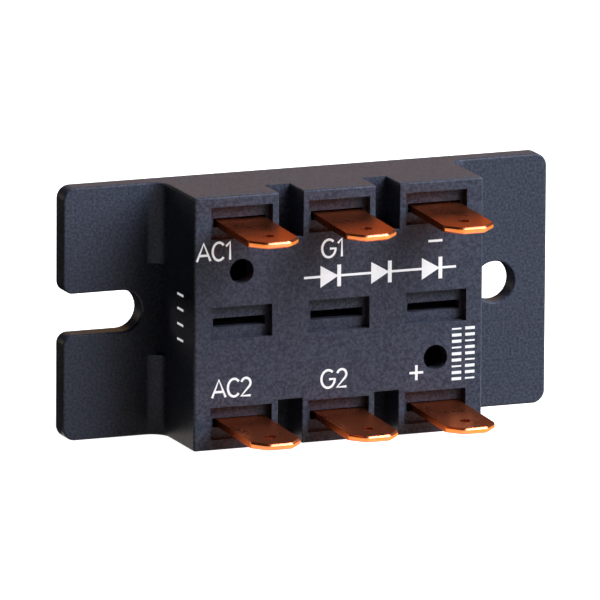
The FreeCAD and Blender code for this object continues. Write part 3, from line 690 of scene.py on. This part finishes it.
@dataclass
class Legends:
    """White print: terminal designations, circuit symbols and plain batch marks.

    Sizes and places are in millimetres, except the gap between letters, which is a part of the cap height.
    """

    cap_height: float = 2.2
    gap: float = 0.13
    symbol_left: float = -4.6
    symbol_right: float = 15.3
    symbol_middle: float = 4.85
    symbol_size: float = 2.7
    symbol_bar: float = 0.5
    batch_left: float = 14.85
    batch_top: float = -2.95
    batch_column_pitch: float = 1.75
    batch_row_pitch: float = 0.78
    batch_rows: int = 9
    batch_length: float = 1.25
    batch_bold: float = 0.42
    batch_light: float = 0.24
    end_wall: float = -18.85
    tick_heights: tuple[float, ...] = (2.9, 1.1, -0.8, -2.7)
    finish: PrintInk = field(default_factory=PrintInk)

    def build(self) -> None:
        """Print every mark."""
        material = self.finish.material()
        front = Pen(Facing.FRONT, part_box("housing")[0].y)
        prints = [
            self.designation(front, "legend_ac1", (Letter.A, Letter.C, Letter.ONE), -18.55, 7.87),
            self.designation(front, "legend_gate1", (Letter.G, Letter.ONE), -2.25, 7.2),
            self.designation(front, "legend_ac2", (Letter.A, Letter.C, Letter.TWO), -16.5, -9.16),
            self.designation(front, "legend_gate2", (Letter.G, Letter.TWO), -2.25, -9.03),
            front.lay("legend_negative", [front.stroke([(11.65, 8.24), (13.5, 8.24)])]),
            front.lay("legend_positive", [front.stroke([(9.3, -8.04), (11.1, -8.04)]),
                                          front.stroke([(10.2, -8.97), (10.2, -7.1)])]),
            self.circuit_symbol(front),
            self.batch_bars(front),
            self.end_ticks(),
        ]
        for piece in prints:
            mount_piece(piece, "marking_ink", material)

    def designation(self, pen: Pen, name: str, letters: tuple[Letter, ...], left: float,
                    base: float) -> bpy.types.Object:
        """Print one terminal designation.

        Args:
            pen: The pen to draw with.
            name: The print's name.
            letters: Its letters, left to right.
            left: Its left end along X, in millimetres.
            base: Its base line along Z, in millimetres.

        Returns:
            The print.
        """
        pieces = []
        for letter in letters:
            width, paths = letter_strokes(letter)
            for path in paths:
                placed = [(left + x * self.cap_height, base + y * self.cap_height) for x, y in path]
                pieces.append(pen.stroke(placed))
            left += (width + self.gap) * self.cap_height
        return pen.lay(name, pieces)

    def circuit_symbol(self, pen: Pen) -> bpy.types.Object:
        """Print a row of plain rectifier symbols on one wire, as a generic mark."""
        pitch = (self.symbol_right - self.symbol_left) / 3
        height = self.symbol_size * math.sqrt(3) / 2
        pieces = []
        for number in range(3):
            left = self.symbol_left + pitch * (number + 0.5) - height / 2
            pieces.append(pen.wedge(left, self.symbol_middle, self.symbol_size))
            bar = left + height + self.symbol_bar / 5
            low = self.symbol_middle - self.symbol_size / 2
            pieces.append(pen.stroke([(bar, low), (bar, low + self.symbol_size)], self.symbol_bar * MM))
        wire = [(self.symbol_left, self.symbol_middle), (self.symbol_right, self.symbol_middle)]
        pieces.append(pen.stroke(wire))
        return pen.lay("circuit_symbol", pieces)

    def batch_bars(self, pen: Pen) -> bpy.types.Object:
        """Print two columns of plain bars where a batch mark goes."""
        pieces = []
        for column in range(2):
            left = self.batch_left + self.batch_column_pitch * column
            for number in range(self.batch_rows):
                level = self.batch_top - self.batch_row_pitch * number
                width = self.batch_bold if (number + column) % 3 else self.batch_light
                pieces.append(pen.stroke([(left, level), (left + self.batch_length, level)], width * MM))
        return pen.lay("batch_bars", pieces)

    def end_ticks(self) -> bpy.types.Object:
        """Print four plain ticks on the end wall, across its middle."""
        pen = Pen(Facing.END, self.end_wall * MM)
        pieces = [pen.stroke([(7.9, level), (9.9, level)]) for level in self.tick_heights]
        return pen.lay("end_ticks", pieces)


# ---------------------------------------------------------------- studio


@dataclass
class Studio:
    """Camera, floor and lights."""

    azimuth: float = 21.645
    elevation: float = 12.281
    roll: float = 0.328
    distance: float = 1.7481
    lens: float = 857.3
    sensor: float = 36.0
    aim_right: float = 0.265 * MM
    aim_up: float = -0.967 * MM
    floor_size: float = 30.0
    floor_glow: float = 1.02
    world_glow: float = 0.002

    def build(self) -> None:
        """Set up everything that isn't the object."""
        self.add_camera()
        self.add_floor()
        self.add_world()
        self.add_light("key", (0.50, -0.38, 0.50), 0.70, 16.5, (0.87, 0.91, 1.0))
        self.add_light("back_top", (0.30, 0.80, 0.32), 0.55, 0.50, (1.0, 0.60, 0.28))
        self.add_light("back_left", (-0.60, 0.62, 0.12), 0.30, 1.2, (1.0, 0.86, 0.72))
        self.add_light("back_low", (0.68, 0.68, -0.26), 0.60, 0.7, (1.0, 0.93, 0.86))

    def add_camera(self) -> None:
        """Place the camera on its sight line, far off with a long lens."""
        turn = Euler((math.radians(90 - self.elevation), 0, math.radians(-self.azimuth))).to_matrix()
        turn = turn @ Matrix.Rotation(math.radians(self.roll), 3, "Z")
        aim = turn @ Vector((self.aim_right, self.aim_up, self.distance))
        deselect()
        bpy.ops.object.camera_add(location=aim)
        camera = bpy.context.object
        camera.rotation_euler = turn.to_euler()
        camera.data.sensor_width = self.sensor
        camera.data.lens = self.lens
        camera.data.clip_start = 0.1
        camera.data.clip_end = 200.0
        bpy.context.scene.camera = camera

    def add_floor(self) -> None:
        """Lay a plain pale floor under the object, and the front half of it that surfaces mirror."""
        floor = self.add_sheet("floor", Vector((0, 0, CAD_BOX[0].z)), (1.0, 1.0, 1.0))
        floor.visible_glossy = False
        half = Vector((0, -self.floor_size / 2, CAD_BOX[0].z))
        sheen = self.add_sheet("floor_sheen", half, (1.0, 0.92, 0.84))
        sheen.visible_camera = False

    def add_sheet(self, name: str, place: Vector, glow: Colour) -> bpy.types.Object:
        """Lay one glowing sheet that lights nothing by itself.

        Args:
            name: The sheet's name.
            place: The sheet's centre.
            glow: The colour of its glow.

        Returns:
            The sheet.
        """
        deselect()
        bpy.ops.mesh.primitive_plane_add(size=self.floor_size, location=place)
        sheet = bpy.context.object
        sheet.name = name
        matt = Graph(name).finish(Base_Color=(0.8, 0.8, 0.8), Roughness=0.9, Emission_Color=glow,
                                  Emission_Strength=self.floor_glow, Specular_IOR_Level=0.0)
        sheet.data.materials.append(matt)
        sheet.visible_diffuse = False
        sheet.visible_shadow = False
        return sheet

    def add_world(self) -> None:
        """Fill the shadows a little from all round."""
        world = bpy.data.worlds.new("studio")
        bpy.context.scene.world = world
        world.use_nodes = True
        background = world.node_tree.nodes["Background"]
        background.inputs["Color"].default_value = (0.9, 0.95, 1.0, 1.0)
        background.inputs["Strength"].default_value = self.world_glow

    def add_light(self, name: str, place: Colour, size: float, watts: float, colour: Colour) -> None:
        """Hang one soft square light that faces the object.

        Args:
            name: The light's name.
            place: Where it hangs.
            size: Its side.
            watts: Its power.
            colour: Its colour.
        """
        deselect()
        bpy.ops.object.light_add(type="AREA", location=place)
        light = bpy.context.object
        light.name = name
        light.data.size = size
        light.data.energy = watts
        light.data.color = colour
        light.rotation_euler = Vector(place).to_track_quat("Z", "Y").to_euler()
        light.visible_camera = False


def main() -> None:
    """Build the looks in order."""
    logging.basicConfig(level=logging.INFO, format="%(name)s %(message)s")
    bpy.context.scene.view_settings.view_transform = "Standard"
    Case().build()
    Blades().build()
    Internals().dress()
    Legends().build()
    Studio().build()


if __name__ == "__main__":
    main()
